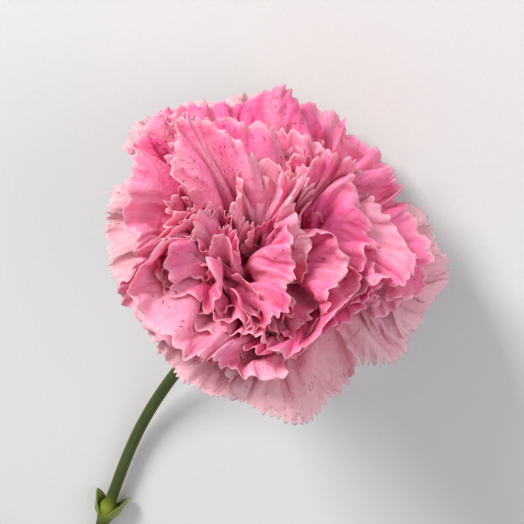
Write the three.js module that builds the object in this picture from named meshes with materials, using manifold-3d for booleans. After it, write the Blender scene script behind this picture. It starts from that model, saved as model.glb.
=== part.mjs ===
// A cut carnation lying on a flat surface: millimetres, +Z up, the flower towards +X.
// The flower rests on the tips of its lower guard petals, and its stem curves down behind it onto the
// surface.
import * as THREE from 'three';
import { mergeVertices } from 'three/addons/utils/BufferGeometryUtils.js';
import Module from 'manifold-3d';

// How the flower lies
const BLOOM_TILT = THREE.MathUtils.degToRad(27); // the flower's axis above the surface
const MOUTH_HEIGHT = 32.2; // centre of the calyx mouth above the surface
const REST_GAP = 0.3; // petal tips stop this far above the surface
const CLEARANCE = 0.3; // between pieces that touch

// Bloom
const BLOOM_RADIUS = 40;
const RIM_RISE = 2.5; // guard petal tips above the calyx mouth
const DOME_HEIGHT = 31; // innermost petal tips above the calyx mouth
const DOME_BULGE = 9; // how far the dome stands out of a straight cone
const EYE_RADIUS = 4; // innermost petal tips from the flower's centre line
const EYE_SHIFT = new THREE.Vector2(-7, 6); // the centre of the top, off the axis
const PETAL_COUNT = 44;
const GUARD_COUNT = 8;
const PETAL_THICKNESS = 0.3;
const GUARD_HALF_ANGLE = THREE.MathUtils.degToRad(36); // half the fan of the outermost petal
const INNER_HALF_ANGLE = THREE.MathUtils.degToRad(60); // half the fan of the innermost petal
const FIRST_AZIMUTH = THREE.MathUtils.degToRad(-6);
const GOLDEN_ANGLE = Math.PI * (3 - Math.sqrt(5));
const RUFFLE_HEIGHT = 0.5;
const RUFFLE_WAVES = 3;
const TIP_ROUNDING = 0.1; // share of its length that a petal loses at the sides of its tip

// Calyx, bracts and pistil
const CALYX_LENGTH = 29;
const CALYX_MOUTH_RADIUS = 7.5;
const CALYX_BASE_RADIUS = 6;
const CALYX_WALL = 0.8;
const CALYX_FLOOR = 2.4; // thickness of the green base under the ovary
const TOOTH_COUNT = 5;
const TOOTH_TIP = 0.4; // tooth tips above the calyx mouth
const TOOTH_DEPTH = 5;
const CLAW_FOOT = 20; // depth below the mouth where the petal claws begin
const CLAW_HALF_WIDTH = 0.6;
const CLAW_INNER_RADIUS = 2; // the innermost claws stand this far from the axis
const BRACT_COUNT = 4;
const BRACT_LENGTH = 10;
const BRACT_THICKNESS = 0.6;
const BRACT_HALF_ANGLE = THREE.MathUtils.degToRad(40);
const OVARY_RADIUS = 1.4;
const OVARY_LENGTH = 12;
const STYLE_RADIUS = 0.4;
const STYLE_LENGTH = 21;
const STYLE_SPREAD = 0.8;

// Stem and leaves
const STEM_RADIUS = 1.5;
const STEM_LENGTH = 182; // measured along the surface, from the calyx base to the cut end
const STEM_BENDS = [[12, 0], [24, 0], [36, -0.3], [48, -1.4], [60, -3.7], [80, -9.8], [110, -18], [145, -22]];
const NODE_RADIUS = 2.9;
const NODE_HALF_LENGTH = 4;
const UPPER_NODE = 79; // from the calyx base, along the surface
const LOWER_NODE = 140;
const SHORT_LEAF_LENGTHS = [7, 5];
const SHORT_LEAF_HALF_WIDTH = 2.4;
const LONG_LEAF_LENGTHS = [58, 50];
const LONG_LEAF_HALF_WIDTH = 3.6;
const LONG_LEAF_BASE_HALF_WIDTH = 1.3;
const LEAF_THICKNESS = 0.7;

const COLOURS = {
  petal: '#e87fa3',
  guardPetal: '#dda6b0',
  calyx: '#6d7f3a',
  bract: '#7b8a45',
  stem: '#55662c',
  leaf: '#75876a',
  pistil: '#dfe3b8',
};

const wasm = await Module();
wasm.setup();

const toSolid = (geometry) => {
  const bare = geometry.clone();
  bare.deleteAttribute('normal');
  bare.deleteAttribute('uv');
  const merged = mergeVertices(bare, 1e-4);
  return new wasm.Manifold(new wasm.Mesh({
    numProp: 3,
    vertProperties: new Float32Array(merged.attributes.position.array),
    triVerts: new Uint32Array(merged.index.array),
  }));
};

const join = (...geometries) => {
  const [first, ...rest] = geometries.map(toSolid);
  const mesh = rest.reduce((sum, solid) => sum.add(solid), first).getMesh();
  const joined = new THREE.BufferGeometry();
  joined.setAttribute('position', new THREE.BufferAttribute(mesh.vertProperties, 3));
  joined.setIndex(new THREE.BufferAttribute(mesh.triVerts, 1));
  joined.computeVertexNormals();
  return joined;
};

const addMesh = (group, name, geometry, colour, roughness) => {
  const material = new THREE.MeshStandardMaterial({ color: colour, roughness, metalness: 0 });
  const mesh = new THREE.Mesh(geometry, material);
  mesh.name = name;
  group.add(mesh);
};

// A thin closed sheet around a middle surface: middle(across, along, target), with across from -1 to 1 and
// along from 0 to 1. The sheet has a top and a bottom face, and narrow walls around its four edges.
const sheetGeometry = (middle, thickness, columns, rows) => {
  const STEP = 0.01;
  const acrossStep = new THREE.Vector3();
  const alongStep = new THREE.Vector3();
  const normal = new THREE.Vector3();
  const point = new THREE.Vector3();
  const positions = [];
  for (let row = 0; row <= rows; row += 1) {
    for (const side of [1, -1]) {
      for (let column = 0; column <= columns; column += 1) {
        const across = 2 * column / columns - 1;
        const along = row / rows;
        const ahead = across > 0 ? -STEP : STEP;
        const onward = along > 0.5 ? -STEP : STEP;
        middle(across, along, point);
        middle(across + ahead, along, acrossStep);
        middle(across, along + onward, alongStep);
        acrossStep.sub(point).multiplyScalar(Math.sign(ahead));
        alongStep.sub(point).multiplyScalar(Math.sign(onward));
        normal.crossVectors(acrossStep, alongStep).normalize();
        point.addScaledVector(normal, side * thickness / 2 * (1 - 0.5 * across * across));
        positions.push(point.x, point.y, point.z);
      }
    }
  }
  const top = (row, column) => 2 * row * (columns + 1) + column;
  const bottom = (row, column) => (2 * row + 1) * (columns + 1) + column;
  const index = [];
  const quad = (a, b, c, d) => index.push(a, b, c, a, c, d);
  for (let row = 0; row < rows; row += 1) {
    for (let column = 0; column < columns; column += 1) {
      quad(top(row, column), top(row, column + 1), top(row + 1, column + 1), top(row + 1, column));
      quad(
        bottom(row, column),
        bottom(row + 1, column),
        bottom(row + 1, column + 1),
        bottom(row, column + 1),
      );
    }
    quad(top(row, 0), top(row + 1, 0), bottom(row + 1, 0), bottom(row, 0));
    quad(top(row, columns), bottom(row, columns), bottom(row + 1, columns), top(row + 1, columns));
  }
  for (let column = 0; column < columns; column += 1) {
    quad(top(0, column), bottom(0, column), bottom(0, column + 1), top(0, column + 1));
    quad(top(rows, column), top(rows, column + 1), bottom(rows, column + 1), bottom(rows, column));
  }
  const sheet = new THREE.BufferGeometry();
  sheet.setAttribute('position', new THREE.Float32BufferAttribute(positions, 3));
  sheet.setIndex(index);
  sheet.computeVertexNormals();
  return sheet;
};

// Bloom, in its own frame: +Z along the flower's axis, +X towards the surface, origin at the calyx mouth.
const bloom = new THREE.Group();
bloom.position.z = MOUTH_HEIGHT;
bloom.rotation.y = Math.PI / 2 - BLOOM_TILT;

const heightOf = (point) => MOUTH_HEIGHT + point.z * Math.sin(BLOOM_TILT) - point.x * Math.cos(BLOOM_TILT);

const outerClaw = CALYX_MOUTH_RADIUS - CALYX_WALL - CLEARANCE - PETAL_THICKNESS;
const footShare = (CALYX_BASE_RADIUS - CALYX_WALL - 2 * CLEARANCE) / outerClaw;
const outerProfile = new THREE.SplineCurve([
  new THREE.Vector2(outerClaw * footShare, -CLAW_FOOT),
  new THREE.Vector2(outerClaw * 0.9, -0.4 * CLAW_FOOT),
  new THREE.Vector2(outerClaw, 0.5),
  new THREE.Vector2(THREE.MathUtils.lerp(outerClaw, BLOOM_RADIUS, 0.2), RIM_RISE + 5),
  new THREE.Vector2(THREE.MathUtils.lerp(outerClaw, BLOOM_RADIUS, 0.48), RIM_RISE + 7),
  new THREE.Vector2(THREE.MathUtils.lerp(outerClaw, BLOOM_RADIUS, 0.76), RIM_RISE + 5),
  new THREE.Vector2(BLOOM_RADIUS, RIM_RISE),
]);
const innerProfile = new THREE.SplineCurve([
  new THREE.Vector2(CLAW_INNER_RADIUS, -CLAW_FOOT),
  new THREE.Vector2(CLAW_INNER_RADIUS, -0.4 * CLAW_FOOT),
  new THREE.Vector2(CLAW_INNER_RADIUS, 0.5),
  new THREE.Vector2(THREE.MathUtils.lerp(CLAW_INNER_RADIUS, EYE_RADIUS, 0.12), 0.28 * DOME_HEIGHT),
  new THREE.Vector2(THREE.MathUtils.lerp(CLAW_INNER_RADIUS, EYE_RADIUS, 0.28), 0.55 * DOME_HEIGHT),
  new THREE.Vector2(THREE.MathUtils.lerp(CLAW_INNER_RADIUS, EYE_RADIUS, 0.52), 0.8 * DOME_HEIGHT),
  new THREE.Vector2(EYE_RADIUS, DOME_HEIGHT),
]);

// Petals stand in a golden-angle spiral, each on its own shell: the shells lie inside one another, from the
// outermost, which flares to the rim, to the innermost, which stands upright around the eye.
const shellPoint = (rank, azimuth, along, target) => {
  const outer = outerProfile.getPoint(along);
  const inner = innerProfile.getPoint(along);
  const bulge = DOME_BULGE * 4 * rank * (1 - rank) * along * along;
  const radius = THREE.MathUtils.lerp(outer.x, inner.x, rank) + 0.6 * bulge;
  const height = THREE.MathUtils.lerp(outer.y, inner.y, rank) + 0.8 * bulge;
  const shift = rank * THREE.MathUtils.smoothstep(along, 0.35, 1);
  target.set(
    radius * Math.cos(azimuth) + EYE_SHIFT.x * shift,
    radius * Math.sin(azimuth) + EYE_SHIFT.y * shift,
    height,
  );
  return radius;
};

const petalMiddle = (index) => {
  const rank = index / (PETAL_COUNT - 1);
  const centre = FIRST_AZIMUTH + index * GOLDEN_ANGLE;
  const fan = THREE.MathUtils.lerp(GUARD_HALF_ANGLE, INNER_HALF_ANGLE, rank);
  const probe = new THREE.Vector3();
  const azimuthAt = (across, along) => {
    const radius = shellPoint(rank, centre, along, probe);
    const claw = CLAW_HALF_WIDTH / radius;
    return centre + across * THREE.MathUtils.lerp(claw, fan, THREE.MathUtils.smoothstep(along, 0.36, 0.72));
  };
  // The share of its length at which this line of the petal meets the surface that the flower lies on
  const reach = (across) => {
    let low = 0.5;
    let high = 1;
    shellPoint(rank, azimuthAt(across, high), high, probe);
    if (heightOf(probe) >= REST_GAP) return high;
    for (let step = 0; step < 20; step += 1) {
      const middle = (low + high) / 2;
      shellPoint(rank, azimuthAt(across, middle), middle, probe);
      if (heightOf(probe) >= REST_GAP) low = middle;
      else high = middle;
    }
    return low;
  };
  return (across, along, target) => {
    const length = Math.min(reach(across), 1 - TIP_ROUNDING * across * across);
    const share = along * length;
    const azimuth = azimuthAt(across, share);
    shellPoint(rank, azimuth, share, target);
    const ruffle = RUFFLE_HEIGHT * share ** 3 * Math.sin(RUFFLE_WAVES * Math.PI * across + 2 * index);
    target.z += ruffle * (1 - rank) * (length < 1 - TIP_ROUNDING ? 0 : 1);
    target.x += ruffle * rank * Math.cos(azimuth);
    target.y += ruffle * rank * Math.sin(azimuth);
  };
};

for (let index = 0; index < PETAL_COUNT; index += 1) {
  const isGuard = index < GUARD_COUNT;
  const name = isGuard ? `guard_petal_${index + 1}` : `petal_${String(index + 1).padStart(2, '0')}`;
  const colour = isGuard ? COLOURS.guardPetal : COLOURS.petal;
  addMesh(bloom, name, sheetGeometry(petalMiddle(index), PETAL_THICKNESS, 4, 6), colour, 0.7);
}

// Calyx: a green cup with five teeth, closed at its base
const calyxProfile = [
  [0, -CALYX_LENGTH],
  [0.5 * CALYX_BASE_RADIUS, -CALYX_LENGTH],
  [0.93 * CALYX_BASE_RADIUS, -CALYX_LENGTH + 1.6],
  [CALYX_BASE_RADIUS, -CALYX_LENGTH + 4],
  [CALYX_MOUTH_RADIUS, -TOOTH_DEPTH - 1],
  [CALYX_MOUTH_RADIUS, 0],
  [CALYX_MOUTH_RADIUS - 0.6 * CALYX_WALL, 0],
  [CALYX_MOUTH_RADIUS - CALYX_WALL, -TOOTH_DEPTH - 1],
  [CALYX_BASE_RADIUS - CALYX_WALL, -CALYX_LENGTH + 4],
  [0.5 * CALYX_BASE_RADIUS, -CALYX_LENGTH + CALYX_FLOOR],
  [0, -CALYX_LENGTH + CALYX_FLOOR],
].map(([radius, height]) => new THREE.Vector2(radius, height));
const calyx = new THREE.LatheGeometry(calyxProfile, 4 * TOOTH_COUNT);
calyx.rotateX(Math.PI / 2);
const calyxPoints = calyx.attributes.position;
for (let k = 0; k < calyxPoints.count; k += 1) {
  if (calyxPoints.getZ(k) > -1e-3) {
    const turn = Math.atan2(calyxPoints.getY(k), calyxPoints.getX(k));
    const rise = TOOTH_TIP - TOOTH_DEPTH / 2 * (1 - Math.cos(TOOTH_COUNT * turn));
    calyxPoints.setZ(k, rise);
  }
}
addMesh(bloom, 'calyx', calyx, COLOURS.calyx, 0.6);

// Bracts: pointed scales that hug the base of the calyx
const calyxRadiusAt = (height) => {
  const share = (height + CALYX_LENGTH - 4) / (CALYX_LENGTH - 5 - TOOTH_DEPTH);
  const wall = THREE.MathUtils.lerp(CALYX_BASE_RADIUS, CALYX_MOUTH_RADIUS, Math.max(0, share));
  const shoulder = Math.max(0, -CALYX_LENGTH + 4 - height) / 4;
  return wall - 0.25 * CALYX_BASE_RADIUS * shoulder * shoulder;
};
for (let k = 0; k < BRACT_COUNT; k += 1) {
  const centre = (k + 0.5) * 2 * Math.PI / BRACT_COUNT;
  const middle = (across, along, target) => {
    const height = -CALYX_LENGTH + 1.2 + along * BRACT_LENGTH;
    const radius = calyxRadiusAt(height) + 2 * CLEARANCE + BRACT_THICKNESS / 2;
    const width = BRACT_HALF_ANGLE * (1 - 0.92 * along ** 1.6);
    const turn = centre + across * width;
    target.set(radius * Math.cos(turn), radius * Math.sin(turn), height);
  };
  addMesh(bloom, `bract_${k + 1}`, sheetGeometry(middle, BRACT_THICKNESS, 4, 4), COLOURS.bract, 0.6);
}

// Pistil: the ovary in the middle of the claws, with two thread-like styles
const ovaryFoot = -CALYX_LENGTH + CALYX_FLOOR + CLEARANCE;
const ovaryProfile = [
  [0, ovaryFoot],
  [0.8 * OVARY_RADIUS, ovaryFoot],
  [OVARY_RADIUS, ovaryFoot + 0.3 * OVARY_LENGTH],
  [0.85 * OVARY_RADIUS, ovaryFoot + 0.8 * OVARY_LENGTH],
  [0, ovaryFoot + OVARY_LENGTH],
].map(([radius, height]) => new THREE.Vector2(radius, height));
const ovary = new THREE.LatheGeometry(ovaryProfile, 12);
ovary.rotateX(Math.PI / 2);
const styleSection = new THREE.Shape();
styleSection.absarc(0, 0, STYLE_RADIUS, 0, 2 * Math.PI);
const styleFoot = ovaryFoot + 0.7 * OVARY_LENGTH;
const styles = [1, -1].map((side) => {
  const path = new THREE.CatmullRomCurve3([
    new THREE.Vector3(0, side * 1.1 * STYLE_RADIUS, styleFoot),
    new THREE.Vector3(0, side * 1.2 * STYLE_RADIUS, styleFoot + 0.5 * STYLE_LENGTH),
    new THREE.Vector3(0, side * STYLE_SPREAD, styleFoot + STYLE_LENGTH),
  ]);
  return new THREE.ExtrudeGeometry(styleSection, { steps: 6, curveSegments: 4, extrudePath: path });
});
addMesh(bloom, 'pistil', join(ovary, ...styles), COLOURS.pistil, 0.5);

// Stem: a tube that curves down from the calyx base and then lies on the surface, with two swollen nodes
const axis = new THREE.Vector3(Math.cos(BLOOM_TILT), 0, Math.sin(BLOOM_TILT));
const mouth = new THREE.Vector3(0, 0, MOUTH_HEIGHT);
const stemStart = mouth.clone().addScaledVector(axis, -CALYX_LENGTH - CLEARANCE);
const drop = stemStart.z - NODE_RADIUS;
const descent = 2 * drop / Math.tan(BLOOM_TILT); // where the falling stem comes level
const stations = STEM_BENDS.filter(([distance]) => distance < STEM_LENGTH - 10);
stations.push([STEM_LENGTH, stations[stations.length - 1][1]]);
const stemPath = new THREE.CatmullRomCurve3([
  stemStart,
  stemStart.clone().addScaledVector(axis, -4),
  ...stations.map(([distance, sideways]) => {
    const fall = Math.max(0, 1 - distance / descent);
    return new THREE.Vector3(stemStart.x - distance, sideways, NODE_RADIUS + drop * fall * fall);
  }),
]);

// Position and directions of the stem at a distance from the calyx base, measured along the surface
const stemFrame = (distance) => {
  let low = 0;
  let high = 1;
  for (let step = 0; step < 30; step += 1) {
    const middle = (low + high) / 2;
    if (stemStart.x - stemPath.getPoint(middle).x < distance) low = middle;
    else high = middle;
  }
  const point = stemPath.getPoint(low);
  const back = stemPath.getTangent(low);
  const side = new THREE.Vector3(0, 0, 1).cross(back).normalize();
  const up = back.clone().cross(side);
  return { point, back, side, up };
};

const stemSection = new THREE.Shape();
stemSection.absarc(0, 0, STEM_RADIUS, 0, 2 * Math.PI);
const stemTube = new THREE.ExtrudeGeometry(stemSection, {
  steps: 44,
  curveSegments: 7,
  extrudePath: stemPath,
});
const nodeProfile = [
  [0, -NODE_HALF_LENGTH],
  [0.8 * STEM_RADIUS, -NODE_HALF_LENGTH],
  [0.93 * NODE_RADIUS, -0.3 * NODE_HALF_LENGTH],
  [NODE_RADIUS, 0],
  [0.93 * NODE_RADIUS, 0.3 * NODE_HALF_LENGTH],
  [0.8 * STEM_RADIUS, NODE_HALF_LENGTH],
  [0, NODE_HALF_LENGTH],
].map(([radius, height]) => new THREE.Vector2(radius, height));
const nodes = [UPPER_NODE, LOWER_NODE].map((distance) => {
  const { point, back } = stemFrame(distance);
  const swelling = new THREE.LatheGeometry(nodeProfile, 14);
  swelling.applyQuaternion(new THREE.Quaternion().setFromUnitVectors(new THREE.Vector3(0, 1, 0), back));
  return swelling.translate(point.x, point.y, point.z);
});
const plant = new THREE.Group();
addMesh(plant, 'stem', join(stemTube, ...nodes), COLOURS.stem, 0.5);

// Short leaves: a pair of pointed scales that clasp the upper node and point towards the flower
[1, -1].forEach((side, k) => {
  const { point, back, side: sideways, up } = stemFrame(UPPER_NODE);
  const middle = (across, along, target) => {
    const clasp = NODE_RADIUS + 2 * CLEARANCE + LEAF_THICKNESS / 2;
    const lean = clasp + 2.2 * along * along;
    const turn = across * SHORT_LEAF_HALF_WIDTH / clasp * (1 - 0.85 * along * along);
    target.copy(point)
      .addScaledVector(back, 1 - along * SHORT_LEAF_LENGTHS[k])
      .addScaledVector(sideways, side * lean * Math.cos(turn))
      .addScaledVector(up, lean * Math.sin(turn) * side);
  };
  addMesh(plant, `short_leaf_${k + 1}`, sheetGeometry(middle, LEAF_THICKNESS, 4, 4), COLOURS.leaf, 0.6);
});

// Long leaves: channelled blades from the lower node that arch out sideways until their tips meet the surface
[1, -1].forEach((side, k) => {
  const { point, back, side: sideways } = stemFrame(LOWER_NODE);
  const start = NODE_RADIUS + CLEARANCE + LONG_LEAF_BASE_HALF_WIDTH + LEAF_THICKNESS / 2;
  const reach = LONG_LEAF_LENGTHS[k];
  const at = (forward, outward, height) => new THREE.Vector3(point.x, point.y, height)
    .addScaledVector(back, -forward)
    .addScaledVector(sideways, side * outward);
  const spine = new THREE.CatmullRomCurve3([
    at(0, start, NODE_RADIUS + 0.4),
    at(0.2 * reach, start + 0.1 * reach, NODE_RADIUS + 3.4),
    at(0.42 * reach, start + 0.22 * reach, NODE_RADIUS + 6),
    at(0.56 * reach, start + 0.46 * reach, NODE_RADIUS + 3),
    at(0.58 * reach, start + 0.72 * reach, LEAF_THICKNESS),
  ]);
  const vertical = new THREE.Vector3(0, 0, 1);
  const middle = (across, along, target) => {
    spine.getPoint(along, target);
    const forward = spine.getTangent(along);
    const breadth = vertical.clone().cross(forward).normalize();
    const broad = THREE.MathUtils.smoothstep(along, 0, 0.35);
    const full = THREE.MathUtils.lerp(LONG_LEAF_BASE_HALF_WIDTH, LONG_LEAF_HALF_WIDTH, broad);
    const width = full * (1 - 0.9 * along ** 3);
    const channel = 0.28 * width * across * across;
    target.addScaledVector(breadth, side * across * width);
    target.z += channel;
  };
  addMesh(plant, `long_leaf_${k + 1}`, sheetGeometry(middle, LEAF_THICKNESS, 4, 13), COLOURS.leaf, 0.6);
});

// The whole flower, with its origin on the surface under the middle of its box
const carnation = new THREE.Group();
carnation.add(bloom, plant);
carnation.updateMatrixWorld(true);
const box = new THREE.Box3().setFromObject(carnation, true);
carnation.position.set(-(box.min.x + box.max.x) / 2, -(box.min.y + box.max.y) / 2, -box.min.z);

export default carnation;
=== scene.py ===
"""Builds a cut pink carnation lying on a plain surface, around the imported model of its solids.

Lengths are in millimetres until a mesh is made, and in metres after that. The bloom has its own axes: its
x points down towards the surface, its y is level, and its z is the flower's axis. The origin of the bloom
is the middle of the calyx mouth.
"""

import math

import bpy
import numpy as np
from mathutils import Matrix, Vector


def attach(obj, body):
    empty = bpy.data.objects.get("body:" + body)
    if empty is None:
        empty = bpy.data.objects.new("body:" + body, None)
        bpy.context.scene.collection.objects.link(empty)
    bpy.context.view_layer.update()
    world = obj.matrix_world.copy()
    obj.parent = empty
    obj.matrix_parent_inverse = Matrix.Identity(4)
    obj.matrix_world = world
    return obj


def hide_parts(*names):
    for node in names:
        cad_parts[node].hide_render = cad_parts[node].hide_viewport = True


bl_info = {
    "name": "Cut carnation",
    "version": (1, 0, 0),
    "blender": (4, 5, 0),
    "location": "View3D > Sidebar > Carnation",
    "description": "Builds a cut carnation with ruffled petals, calyx, stem and leaves",
    "category": "Add Mesh",
}

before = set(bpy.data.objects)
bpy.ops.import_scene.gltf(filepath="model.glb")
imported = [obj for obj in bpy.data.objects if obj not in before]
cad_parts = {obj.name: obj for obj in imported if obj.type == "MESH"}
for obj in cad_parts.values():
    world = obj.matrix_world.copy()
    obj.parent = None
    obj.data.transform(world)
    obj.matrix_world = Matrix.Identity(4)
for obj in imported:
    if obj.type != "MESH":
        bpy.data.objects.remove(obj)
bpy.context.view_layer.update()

MM = 0.001
GOLDEN_ANGLE = math.pi * (3 - math.sqrt(5))
TAU = 2 * math.pi

# The bloom's layout, in the bloom's own axes
BLOOM_TILT = math.radians(27)
FIRST_AZIMUTH = math.radians(-6)
PETAL_COUNT = 44
GUARD_COUNT = 8
GUARD_TURNS = (0, 2, -1, 0, -6, -16, -23, -16)  # degrees that a guard petal is turned from its spiral place
GUARD_REACH = (0.90, 1.05, 0.98, 1.04, 1.12, 1.12, 1.16, 1.10)  # share of the bloom's radius
GUARD_FAN = (28, 26, 23, 28, 24, 22, 18, 24)  # degrees on each side of a guard petal's middle
CLAW_FOOT = 20.0
CLAW_HALF_WIDTH = 0.7
CLAW_OUTER_RADIUS = 6.05
CLAW_INNER_RADIUS = 2.0
TOOTH_TIP = 0.4

# Calyx, stem and leaves, as the solids have them
CALYX_LENGTH = 29.0
CALYX_BASE_RADIUS = 6.0
CALYX_MOUTH_RADIUS = 7.5
CALYX_WALL = 0.8
TOOTH_COUNT = 5
TOOTH_DEPTH = 5.0
CALYX_SHOULDER = 4.0  # height over which the calyx draws in at its base
TOOTH_RISE = 9.0  # height over which the teeth part
BRACT_COUNT = 4
BRACT_LENGTH = 10.0
CLEARANCE = 0.3
NODE_RADIUS = 2.9
STEM_RADIUS = 1.5
STEM_LENGTH = 182.0
STEM_SOCKET = 0.4  # how far the stem's top is sunk into the calyx
# Stations along the stem, and how far it has bent sideways at each
STEM_BENDS = (
    (0, 0), (12, 0), (24, 0), (36, -0.3), (48, -1.4), (60, -3.7), (80, -9.8), (110, -18), (145, -22),
    (STEM_LENGTH, -22),
)
UPPER_NODE = 79.0
LOWER_NODE = 140.0
SHORT_LEAF_LENGTHS = (7.0, 5.0)
LONG_LEAF_LENGTHS = (58.0, 50.0)


def smooth(value, low, high):
    """A smooth step: 0 below low, 1 above high, and 3t^2 - 2t^3 between them."""
    t = np.clip((np.asarray(value, float) - low) / (high - low), 0, 1)
    return t * t * (3 - 2 * t)


def spline(points, share):
    """A curve through evenly timed points: each span is a cubic whose end slopes are half the gap between
    the neighbouring points."""
    points = np.asarray(points, float)
    spans = len(points) - 1
    at = np.clip(np.asarray(share, float), 0, 1) * spans
    span = np.minimum(at.astype(int), spans - 1)
    t = (at - span)[..., None]
    before = points[np.maximum(span - 1, 0)]
    here = points[span]
    after = points[span + 1]
    beyond = points[np.minimum(span + 2, spans)]
    out_slope = (after - before) / 2
    in_slope = (beyond - here) / 2
    return (
        here
        + out_slope * t
        + (3 * (after - here) - 2 * out_slope - in_slope) * t ** 2
        + (2 * (here - after) + out_slope + in_slope) * t ** 3
    )


# ---------------------------------------------------------------- the bloom's place


def calyx_points():
    """The corners of the calyx solid, in metres."""
    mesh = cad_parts["calyx"].data
    points = np.zeros(len(mesh.vertices) * 3)
    mesh.vertices.foreach_get("co", points)
    return points.reshape(-1, 3)


AXIS = np.array([math.cos(BLOOM_TILT), 0, math.sin(BLOOM_TILT)])
DOWN = np.array([math.sin(BLOOM_TILT), 0, -math.cos(BLOOM_TILT)])
LEVEL = np.array([0.0, 1.0, 0.0])
BLOOM_AXES = np.stack([DOWN, LEVEL, AXIS])


def find_mouth():
    """The calyx is even around its axis, so the middle of its box across the axis is on it, and the mouth is
    the height of a tooth tip below its highest point along it."""
    points = calyx_points()
    along = points @ AXIS
    across = points @ DOWN
    level = points[:, 1]
    height = along.max() - TOOTH_TIP * MM
    return AXIS * height + DOWN * (across.max() + across.min()) / 2 + LEVEL * (level.max() + level.min()) / 2


MOUTH = find_mouth()


def to_row(points):
    """From the bloom's axes in millimetres to the row frame in metres."""
    return MOUTH + (np.asarray(points) @ BLOOM_AXES) * MM


# ---------------------------------------------------------------- settings


def length_setting(name, text, default):
    """A length that a user can change, in metres."""
    return bpy.props.FloatProperty(name=name, description=text, default=default, unit="LENGTH")


def colour_setting(name, text, default):
    """A colour that a user can change."""
    return bpy.props.FloatVectorProperty(
        name=name, description=text, default=default, size=3, min=0, max=1, subtype="COLOR"
    )


class CarnationSizes(bpy.types.PropertyGroup):
    """Sizes of the bloom and its petals, in metres unless a description says otherwise."""

    bloom_radius: length_setting("Bloom radius", "Guard petal tips from the flower's axis", 0.040)
    dome_height: length_setting("Dome height", "Innermost petal tips above the calyx mouth", 0.028)
    dome_bulge: length_setting("Dome bulge", "How far the dome stands out of a straight cone", 0.011)
    petal_thickness: length_setting("Petal thickness", "Thickness of a petal away from its margin", 0.00022)
    tooth_depth: length_setting("Tooth depth", "Depth of the notches in a petal's margin", 0.0016)
    ruffle: bpy.props.FloatProperty(
        name="Ruffle", description="How much longer the margin is than a smooth petal's", default=0.60,
        min=0, max=2,
    )
    seed: bpy.props.IntProperty(
        name="Seed", description="Number that the random shapes start from", default=11
    )


class CarnationColours(bpy.types.PropertyGroup):
    """Colours, as linear light."""

    petal: colour_setting("Petal", "Main colour of the inner petals", (0.92, 0.15, 0.40))
    # The petal base colour is partly painted shade: its darker, saturated pink stands for the shade deep in
    # the bloom's folds. The fine veins use it too.
    petal_deep_and_shade: colour_setting("Petal base", "Colour towards the claw", (0.93, 0.045, 0.22))
    petal_pale: colour_setting("Petal pale", "Colour of pale patches and margins", (0.94, 0.50, 0.63))
    guard: colour_setting("Guard petal", "Main colour of the guard petals", (0.76, 0.42, 0.47))
    fleck: colour_setting("Fleck", "Colour of the flecks", (0.36, 0.01, 0.10))
    stem: colour_setting("Stem", "Colour of the stem", (0.045, 0.062, 0.008))
    leaf: colour_setting("Leaf", "Colour of the leaves", (0.11, 0.17, 0.075))
    calyx: colour_setting("Calyx", "Colour of the calyx", (0.12, 0.18, 0.035))


def sizes():
    """The sizes that the operators work with."""
    return bpy.context.scene.carnation_sizes


def colours():
    """The colours that the operators work with."""
    return bpy.context.scene.carnation_colours


# ---------------------------------------------------------------- meshes


def grid_faces(rows, columns, first=0, wrap=False):
    """Quads of a grid whose vertex number is first + row * columns + column."""
    row = np.arange(rows - 1)[:, None]
    column = np.arange(columns if wrap else columns - 1)[None, :]
    onward = (column + 1) % columns
    a = row * columns + column
    b = row * columns + onward
    c = (row + 1) * columns + onward
    d = (row + 1) * columns + column
    return first + np.stack([a, b, c, d], -1).reshape(-1, 4)


def add_mesh(name, points, quads, uv=None, triangles=None, values=None):
    """Makes an object at the origin from points in metres, quads and triangles, with a UV for each point.
    values are named numbers that hold for the whole piece, for its material to read."""
    mesh = bpy.data.meshes.new(name)
    faces = [quads] if triangles is None else [quads, triangles]
    corners = np.concatenate([f.reshape(-1) for f in faces])
    totals = np.concatenate([np.full(len(f), f.shape[1]) for f in faces])
    starts = np.concatenate([[0], np.cumsum(totals)[:-1]])
    mesh.vertices.add(len(points))
    mesh.vertices.foreach_set("co", np.asarray(points, np.float32).reshape(-1))
    mesh.loops.add(len(corners))
    mesh.loops.foreach_set("vertex_index", corners.astype(np.int32))
    mesh.polygons.add(len(totals))
    mesh.polygons.foreach_set("loop_start", starts.astype(np.int32))
    mesh.polygons.foreach_set("loop_total", totals.astype(np.int32))
    mesh.polygons.foreach_set("use_smooth", np.ones(len(totals), bool))
    mesh.update(calc_edges=True)
    if uv is not None:
        layer = mesh.uv_layers.new(name="UVMap")
        layer.data.foreach_set("uv", np.asarray(uv, np.float32)[corners].reshape(-1))
    for key, value in (values or {}).items():
        attribute = mesh.attributes.new(key, "FLOAT", "POINT")
        attribute.data.foreach_set("value", np.full(len(points), value, np.float32))
    mesh.validate()
    piece = bpy.data.objects.new(name, mesh)
    bpy.context.scene.collection.objects.link(piece)
    return piece


def unit(vectors):
    """The vectors made 1 long."""
    return vectors / np.maximum(np.linalg.norm(vectors, axis=-1, keepdims=True), 1e-9)


def sheet_normals(middle):
    """Normals of grids of points: the cross product of the steps across and along, each made unit length."""
    across = np.gradient(middle, axis=-3)
    along = np.gradient(middle, axis=-2)
    return unit(np.cross(across, along))


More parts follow.
